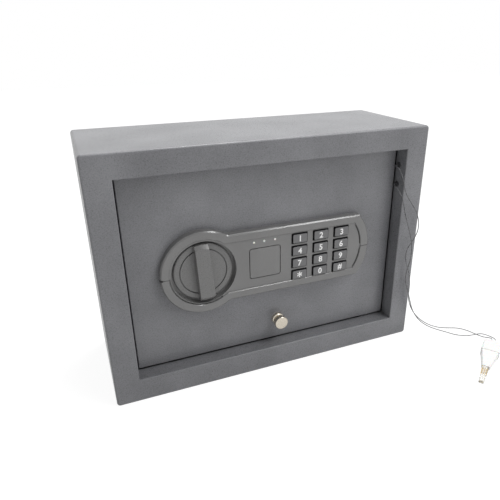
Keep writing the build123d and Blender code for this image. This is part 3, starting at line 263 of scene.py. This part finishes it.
# Indicator lenses: three small domes of milky plastic over the lights.
# They are glossy, and light goes a little way into them.
lens_plastic, shader = plain_finish("lens_plastic", (0.8, 0.81, 0.8), roughness=0.15)
shader.inputs["Subsurface Weight"].default_value = 0.3
shader.inputs["Subsurface Scale"].default_value = 0.001
uneven_gloss(lens_plastic, shader, noise(lens_plastic, per_metre=900), low=0.1, high=0.22)
finish_nodes(lens_plastic, "indicator_lenses")

# Twelve keys: plastic with a lighter satin grey front face and a white figure on each. The keys'
# sides are painted near-black as painted shade for the gaps round the keys.
# The figures are printed, so they stand out of the face by no more than the ink. The 9 is the 6
# turned over.
KEY_FIGURES = {
    "key_1": "1", "key_2": "2", "key_3": "3",
    "key_4": "4", "key_5": "5", "key_6": "6",
    "key_7": "7", "key_8": "8", "key_9": "9",
    "key_star": "*", "key_0": "0", "key_hash": "#",
}
FIGURE_HEIGHT = 0.0076
STAR_HEIGHT = 1.5 * FIGURE_HEIGHT
FIGURE_WEIGHT = 0.0002
INK = 0.00004
SAME_POINT = 1e-7
KEY_FACE_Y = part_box("key_5")[0].y
PAINTED_SHADE_ENDS = (KEY_FACE_Y + 0.00010, KEY_FACE_Y + 0.00035)
key_plastic, shader = plain_finish("key_plastic", (0.09, 0.09, 0.092), roughness=0.4)
tree = key_plastic.node_tree
split = tree.nodes.new("ShaderNodeSeparateXYZ")
tree.links.new(on_piece(key_plastic), split.inputs["Vector"])
# Behind the key's face the sides are painted near-black: painted shade for the gaps round the
# keys.
face_not_painted_shade = between(key_plastic, split.outputs["Y"], *PAINTED_SHADE_ENDS, low=1, high=0)
two_tone(key_plastic, shader, face_not_painted_shade, (0.018, 0.018, 0.020), (0.15, 0.15, 0.153))
satin = noise(key_plastic, per_metre=2000)
uneven_gloss(key_plastic, shader, satin, low=0.36, high=0.52)
relief(key_plastic, shader, satin, height=0.00004, strength=0.3)
finish_nodes(key_plastic, *KEY_FIGURES)

figure_ink, shader = plain_finish("figure_ink", (0.85, 0.85, 0.84), roughness=0.5)
ink_film = noise(figure_ink, per_metre=3000)
grained(figure_ink, shader, ink_film, (0.78, 0.78, 0.77), (0.92, 0.92, 0.91))
for key, figure in KEY_FIGURES.items():
    low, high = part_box(key)
    text = bpy.data.curves.new("figure", "FONT")
    text.body = "6" if figure == "9" else figure
    text.size = STAR_HEIGHT if figure == "*" else FIGURE_HEIGHT
    text.align_x = "CENTER"
    text.offset = FIGURE_WEIGHT
    text.extrude = INK
    holder = bpy.data.objects.new("figure", text)
    mesh = bpy.data.meshes.new_from_object(holder)
    bpy.data.objects.remove(holder)
    ink = bmesh.new()
    ink.from_mesh(mesh)
    bmesh.ops.remove_doubles(ink, verts=ink.verts, dist=SAME_POINT)
    xs = [vert.co.x for vert in ink.verts]
    ys = [vert.co.y for vert in ink.verts]
    middle = Vector(((max(xs) + min(xs)) / 2, (max(ys) + min(ys)) / 2, 0))
    bmesh.ops.translate(ink, vec=-middle, verts=ink.verts)
    if figure == "9":
        bmesh.ops.rotate(ink, cent=(0, 0, 0), matrix=Matrix.Rotation(pi, 3, "Z"), verts=ink.verts)
    bmesh.ops.rotate(ink, cent=(0, 0, 0), matrix=Matrix.Rotation(pi / 2, 3, "X"), verts=ink.verts)
    on_key = Vector(((low.x + high.x) / 2, low.y, (low.z + high.z) / 2))
    bmesh.ops.translate(ink, vec=on_key, verts=ink.verts)
    new_piece(key + "_figure", ink, figure_ink, key)

# Turning knob: charcoal plastic disc with a tapered grip across it.
# It is moulded like the panel, and a shade darker and duller.
knob_plastic, shader = plain_finish("knob_plastic", (0.17, 0.169, 0.168), roughness=0.3)
satin = noise(knob_plastic, per_metre=1900)
grained(knob_plastic, shader, satin, (0.148, 0.147, 0.146), (0.192, 0.191, 0.189))
uneven_gloss(knob_plastic, shader, satin, low=0.26, high=0.38)
relief(knob_plastic, shader, satin, height=0.00004, strength=0.3)
finish_nodes(knob_plastic, "knob_body")

# Plug over the emergency lock: turned metal with a warm silver finish.
# Its turning marks are fine rings round its axis.
PLUG_AXIS = (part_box("key_lock_plug")[0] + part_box("key_lock_plug")[1]) / 2
RINGS_PER_METRE = 900
RING_WANDER = 1.5
silver, shader = plain_finish("silver", (0.55, 0.50, 0.43), roughness=0.3, metallic=1.0)
tree = silver.node_tree
centred = tree.nodes.new("ShaderNodeMapping")
centred.inputs["Location"].default_value = -PLUG_AXIS
rings = tree.nodes.new("ShaderNodeTexWave")
rings.wave_type = "RINGS"
rings.rings_direction = "Y"
rings.inputs["Scale"].default_value = RINGS_PER_METRE
rings.inputs["Distortion"].default_value = RING_WANDER
tree.links.new(on_piece(silver), centred.inputs["Vector"])
tree.links.new(centred.outputs["Vector"], rings.inputs["Vector"])
two_tone(silver, shader, rings.outputs["Fac"], (0.45, 0.41, 0.345), (0.64, 0.585, 0.50))
uneven_gloss(silver, shader, noise(silver, per_metre=700), low=0.24, high=0.42)
relief(silver, shader, rings.outputs["Fac"], height=0.00002, strength=0.4)
finish_nodes(silver, "key_lock_plug")

# Bolt work: two polished steel bolts on a zinc-plated carriage that slides on two studs.
# The knob's spindle turns a cam, and the cam's pin drives the carriage.
bright_steel, shader = plain_finish("bright_steel", (0.72, 0.72, 0.71), roughness=0.18,
                                    metallic=1.0)
drawn = noise(bright_steel, per_metre=900, stretch=(0.05, 1, 1))
grained(bright_steel, shader, drawn, (0.64, 0.64, 0.63), (0.80, 0.80, 0.79))
uneven_gloss(bright_steel, shader, drawn, low=0.12, high=0.28)
finish_nodes(bright_steel, "bolt_lower", "bolt_upper", "solenoid_plunger", "plunger_spring")
finish_nodes(zinc, "bolt_carriage", "guide_studs", "knob_spindle", "drive_cam", "cam_pin")

# Solenoid and emergency lock, inside the door: a plated frame and housing, and a coil wound
# with enamelled copper wire. The battery contacts are plated as they are.
TURNS_PER_METRE = 1000
coil_wire, shader = plain_finish("coil_wire", (0.45, 0.16, 0.06), roughness=0.35)
tree = coil_wire.node_tree
turns = tree.nodes.new("ShaderNodeTexWave")
turns.bands_direction = "Z"
turns.inputs["Scale"].default_value = TURNS_PER_METRE
tree.links.new(on_piece(coil_wire), turns.inputs["Vector"])
two_tone(coil_wire, shader, turns.outputs["Fac"], (0.30, 0.09, 0.03), (0.58, 0.22, 0.09))
relief(coil_wire, shader, turns.outputs["Fac"], height=0.0002, strength=0.6)
finish_nodes(coil_wire, "solenoid_coil")
finish_nodes(zinc, "solenoid_frame", "lock_housing", "lock_cam", "battery_contacts")

# Electronics inside the door: green circuit boards with a faint glass weave, a red reset button,
# and a black moulded battery box with its lid and four jacketed cells.
circuit_board, shader = plain_finish("circuit_board", (0.03, 0.16, 0.07), roughness=0.3)
weave = noise(circuit_board, per_metre=500, detail=1.0)
grained(circuit_board, shader, weave, (0.02, 0.12, 0.05), (0.05, 0.2, 0.09),
        low_at=0.45, high_at=0.55)
relief(circuit_board, shader, weave, height=0.00005, strength=0.4)
finish_nodes(circuit_board, "control_board", "keypad_board")

black_plastic, shader = plain_finish("black_plastic", (0.04, 0.04, 0.042), roughness=0.5)
spark = noise(black_plastic, per_metre=1600, detail=3.0)
grained(black_plastic, shader, spark, (0.03, 0.03, 0.032), (0.06, 0.06, 0.062))
relief(black_plastic, shader, spark, height=0.00007, strength=0.5)
finish_nodes(black_plastic, "battery_box", "battery_cover")

cell_jacket, shader = plain_finish("cell_jacket", (0.06, 0.1, 0.26), roughness=0.28)
film = noise(cell_jacket, per_metre=250)
grained(cell_jacket, shader, film, (0.05, 0.08, 0.22), (0.08, 0.13, 0.32))
uneven_gloss(cell_jacket, shader, film, low=0.2, high=0.36)
finish_nodes(cell_jacket, "batteries")

red_plastic, shader = plain_finish("red_plastic", (0.55, 0.03, 0.03), roughness=0.3)
film = noise(red_plastic, per_metre=900)
grained(red_plastic, shader, film, (0.48, 0.02, 0.02), (0.62, 0.05, 0.04))
finish_nodes(red_plastic, "reset_button")

# Two thin leads: soft grey plastic over fine wire, out through two grommets in the right return.
# They hang in front of the flange, cross each other, and lie on the floor as far as their
# connector. The routes are in millimetres.
MM = 0.001
LEAD_DIAMETER = 0.0008
LEAD_POINTS = {
    "lead_a": (
        (127.8, -43.95, 182.4), (124.2, -43.95, 182.4), (121.9, -46.2, 183.2),
        (121.6, -50.6, 183.2), (122.8, -55.6, 179.4), (124.2, -58.8, 171.6),
        (128.4, -58.8, 158.6), (137.6, -58.8, 147.0), (145.6, -58.8, 135.4),
        (148.8, -58.9, 121.6), (144.2, -59.0, 110.6), (136.8, -59.4, 102.2),
        (134.8, -60.6, 92.4), (138.6, -61.4, 81.6), (143.2, -60.4, 71.4),
        (145.8, -59.2, 58.6), (145.4, -59.2, 45.6), (150.8, -59.6, 31.0),
        (160.8, -60.2, 18.0), (173.8, -61.2, 7.6), (186.6, -63.2, 1.4),
        (196.4, -67.6, 0.75), (206.4, -71.8, 0.8), (213.0, -79.2, 0.75),
        (216.6, -90.0, 0.75), (219.8, -97.6, 0.9), (223.2, -103.2, 2.6),
        (220.21, -107.93, 4.5), (216.19, -110.9, 4.5),
    ),
    "lead_b": (
        (127.8, -43.95, 164.4), (124.2, -43.95, 164.4), (121.9, -46.2, 165.0),
        (121.8, -50.8, 164.8), (122.8, -56.0, 161.0), (125.6, -59.2, 153.6),
        (129.0, -59.4, 141.2), (133.6, -60.8, 127.0), (138.6, -62.0, 112.6),
        (141.6, -61.2, 98.6), (142.2, -59.4, 86.6), (139.8, -58.8, 76.6),
        (139.6, -58.8, 66.0), (143.0, -60.2, 55.4), (146.0, -61.4, 44.4),
        (150.4, -62.0, 31.0), (159.2, -62.6, 17.8), (171.6, -63.6, 7.2),
        (183.6, -66.6, 1.4), (190.2, -73.6, 0.75), (195.8, -82.2, 0.75),
        (204.2, -88.6, 1.2), (211.6, -91.2, 2.3), (219.6, -91.9, 2.3),
        (224.8, -95.2, 1.4), (227.0, -101.0, 1.4), (225.5, -107.2, 2.8),
        (221.87, -110.18, 4.5), (217.85, -113.15, 4.5),
    ),
}
lead_jacket, shader = plain_finish("lead_jacket", (0.10, 0.10, 0.105), roughness=0.3)
grain = noise(lead_jacket, per_metre=900, stretch=(1, 1, 0.3))
grained(lead_jacket, shader, grain, (0.06, 0.06, 0.065), (0.16, 0.16, 0.165))
uneven_gloss(lead_jacket, shader, grain, low=0.22, high=0.4)

for name, points in LEAD_POINTS.items():
    line = bpy.data.curves.new(name, "CURVE")
    line.dimensions = "3D"
    line.bevel_depth = LEAD_DIAMETER / 2
    line.bevel_resolution = 4
    line.use_fill_caps = True
    spline = line.splines.new("NURBS")
    spline.points.add(len(points) - 1)
    for point, place in zip(spline.points, points):
        point.co = (*(MM * value for value in place), 1.0)
    spline.order_u = 3
    spline.use_endpoint_u = True
    spline.resolution_u = 12
    line.materials.append(lead_jacket)
    lead = bpy.data.objects.new(name, line)
    bpy.context.scene.collection.objects.link(lead)
    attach(lead, "box")
    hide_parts("lead_strand_" + name[-1])

# Connector at the leads' end: a white moulded block with a tapering snout and a clear tip.
# Three gold contacts lie side by side inside the tip.
CONNECTOR_REAR = Vector((0.213, -0.115, 0.0045))
CONNECTOR_HEADING = radians(216.5)
HEADING = Vector((cos(CONNECTOR_HEADING), sin(CONNECTOR_HEADING), 0))
ACROSS = Vector((-HEADING.y, HEADING.x, 0))
CONTACTS = 3
CONTACT_START = 0.042
CONTACT_SIZE = (0.010, 0.0009, 0.0005)
CONTACT_PITCH = 0.0017
CONTACT_Z = 0.0022
CONTACT_EDGE = 0.00012

white_plastic, shader = plain_finish("white_plastic", (0.80, 0.80, 0.79), roughness=0.42)
grain = noise(white_plastic, per_metre=700)
grained(white_plastic, shader, grain, (0.78, 0.78, 0.77), (0.84, 0.84, 0.83))
relief(white_plastic, shader, grain, height=0.00004, strength=0.4)
shader.inputs["Subsurface Weight"].default_value = 0.1
shader.inputs["Subsurface Scale"].default_value = 0.002
finish_nodes(white_plastic, "lead_connector")

clear_plastic, shader = plain_finish("clear_plastic", (0.93, 0.92, 0.88), roughness=0.12)
shader.inputs["Transmission Weight"].default_value = 0.85
shader.inputs["IOR"].default_value = 1.49
uneven_gloss(clear_plastic, shader, noise(clear_plastic, per_metre=300), low=0.08, high=0.2)
finish_nodes(clear_plastic, "connector_tip")

contact_gold, shader = plain_finish("contact_gold", (0.85, 0.62, 0.25), roughness=0.28,
                                    metallic=1.0)
uneven_gloss(contact_gold, shader, noise(contact_gold, per_metre=2500), low=0.2, high=0.4)
contacts = bmesh.new()
turn = Matrix.Rotation(CONNECTOR_HEADING, 3, "Z")
for number in range(CONTACTS):
    across = (number - (CONTACTS - 1) / 2) * CONTACT_PITCH
    along = CONTACT_START + CONTACT_SIZE[0] / 2
    middle = CONNECTOR_REAR + HEADING * along + ACROSS * across
    middle.z = CONTACT_Z
    blade = bmesh.ops.create_cube(contacts, size=1.0)["verts"]
    bmesh.ops.scale(contacts, vec=CONTACT_SIZE, verts=blade)
    bmesh.ops.rotate(contacts, cent=(0, 0, 0), matrix=turn, verts=blade)
    bmesh.ops.translate(contacts, vec=middle, verts=blade)
bmesh.ops.bevel(contacts, geom=contacts.edges[:], offset=CONTACT_EDGE, affect="EDGES", segments=2,
                profile=0.5, material=-1)
new_piece("connector_contacts", contacts, contact_gold, "box")

# Studio: a wide white floor that keeps the safe's soft shadow, and a white world behind it.
# Camera, mirror and glass rays see both as white, and the lamps stay at a plain level.
FLOOR_SIZE = 6.0
FLOOR_DROP = 0.0001
FLOOR_COLOUR = (0.90, 0.90, 0.90)
SEEN_FLOOR_COLOUR = (0.16, 0.16, 0.16)
FLOOR_GLOW = 0.92
WORLD_FILL = 0.24
LAMP_AIM = Vector((0, 0, 0.1))
LAMPS = {
    "ceiling_lamp": {"place": (0.30, 0.25, 1.45), "size": (0.6, 0.6), "power": 14.0},
    "room_lamp": {"place": (0.66, -0.60, 1.36), "size": (0.8, 0.2), "power": 7.2},
    "window_lamp": {"place": (0.85, -1.25, 1.05), "size": (0.9, 0.9), "power": 6.5},
}


def sees_white(tree):
    """1 for rays from the camera, a mirror or glass, and 0 for the light that falls on things."""
    path = tree.nodes.new("ShaderNodeLightPath")
    total = path.outputs["Is Camera Ray"]
    for kind in ("Is Glossy Ray", "Is Transmission Ray"):
        either = tree.nodes.new("ShaderNodeMath")
        either.operation = "MAXIMUM"
        tree.links.new(total, either.inputs[0])
        tree.links.new(path.outputs[kind], either.inputs[1])
        total = either.outputs[0]
    return total


floor_paper, shader = plain_finish("floor_paper", FLOOR_COLOUR, roughness=0.9)
tree = floor_paper.node_tree
seen = sees_white(tree)
two_tone(floor_paper, shader, seen, FLOOR_COLOUR, SEEN_FLOOR_COLOUR)
glow = tree.nodes.new("ShaderNodeMath")
glow.operation = "MULTIPLY"
glow.inputs[1].default_value = FLOOR_GLOW
tree.links.new(seen, glow.inputs[0])
shader.inputs["Emission Color"].default_value = (1, 1, 1, 1)
tree.links.new(glow.outputs[0], shader.inputs["Emission Strength"])
ground = bmesh.new()
bmesh.ops.create_grid(ground, x_segments=1, y_segments=1, size=FLOOR_SIZE / 2)
bmesh.ops.translate(ground, vec=(0, 0, -FLOOR_DROP), verts=ground.verts)
mesh = bpy.data.meshes.new("floor")
ground.to_mesh(mesh)
ground.free()
mesh.materials.append(floor_paper)
floor = bpy.data.objects.new("floor", mesh)
bpy.context.scene.collection.objects.link(floor)

world = bpy.data.worlds.new("white_room")
bpy.context.scene.world = world
world.use_nodes = True
tree = world.node_tree
background = tree.nodes["Background"]
background.inputs["Color"].default_value = (1, 1, 1, 1)
level = tree.nodes.new("ShaderNodeMapRange")
level.inputs["To Min"].default_value = WORLD_FILL
level.inputs["To Max"].default_value = 1.0
tree.links.new(sees_white(tree), level.inputs["Value"])
tree.links.new(level.outputs["Result"], background.inputs["Strength"])

for name, facts in LAMPS.items():
    lamp = bpy.data.lights.new(name, "AREA")
    lamp.shape = "RECTANGLE"
    lamp.size, lamp.size_y = facts["size"]
    lamp.energy = facts["power"]
    holder = bpy.data.objects.new(name, lamp)
    bpy.context.scene.collection.objects.link(holder)
    holder.location = facts["place"]
    holder.rotation_mode = "QUATERNION"
    holder.rotation_quaternion = (LAMP_AIM - Vector(facts["place"])).to_track_quat("-Z", "Y")

bpy.context.scene.view_settings.view_transform = "Standard"
